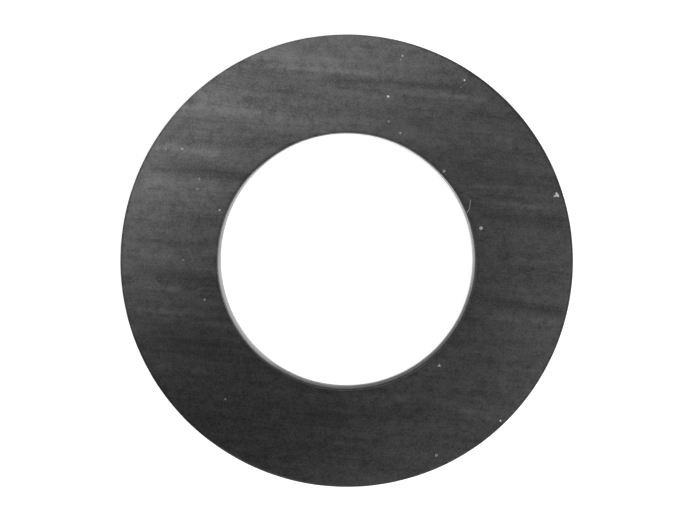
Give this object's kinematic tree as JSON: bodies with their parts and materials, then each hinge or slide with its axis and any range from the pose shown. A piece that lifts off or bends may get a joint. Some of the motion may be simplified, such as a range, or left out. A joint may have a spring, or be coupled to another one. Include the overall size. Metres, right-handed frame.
{
  "type": "rubber sealing ring",
  "caption": "Flat round sealing ring cut from plain black rubber sheet, with a round bore and square-cut walls, made to be squeezed between two pipe flanges.",
  "frame": {"origin": "centre of the bore, on the lower face that the ring lies on", "axes": "+Z along the bore axis, upwards out of the upper face; the sheet's calendering streaks run about along X"},
  "size_m": [0.107, 0.107, 0.003],
  "materials": {
    "black_rubber": "matt black calendered sheet rubber, with faint straight streaks across the faces, fine grain, smoother die-cut walls, white dust specks"
  },
  "bodies": {
    "root": {"sealing_ring": "black_rubber"}
  },
  "joints": []
}
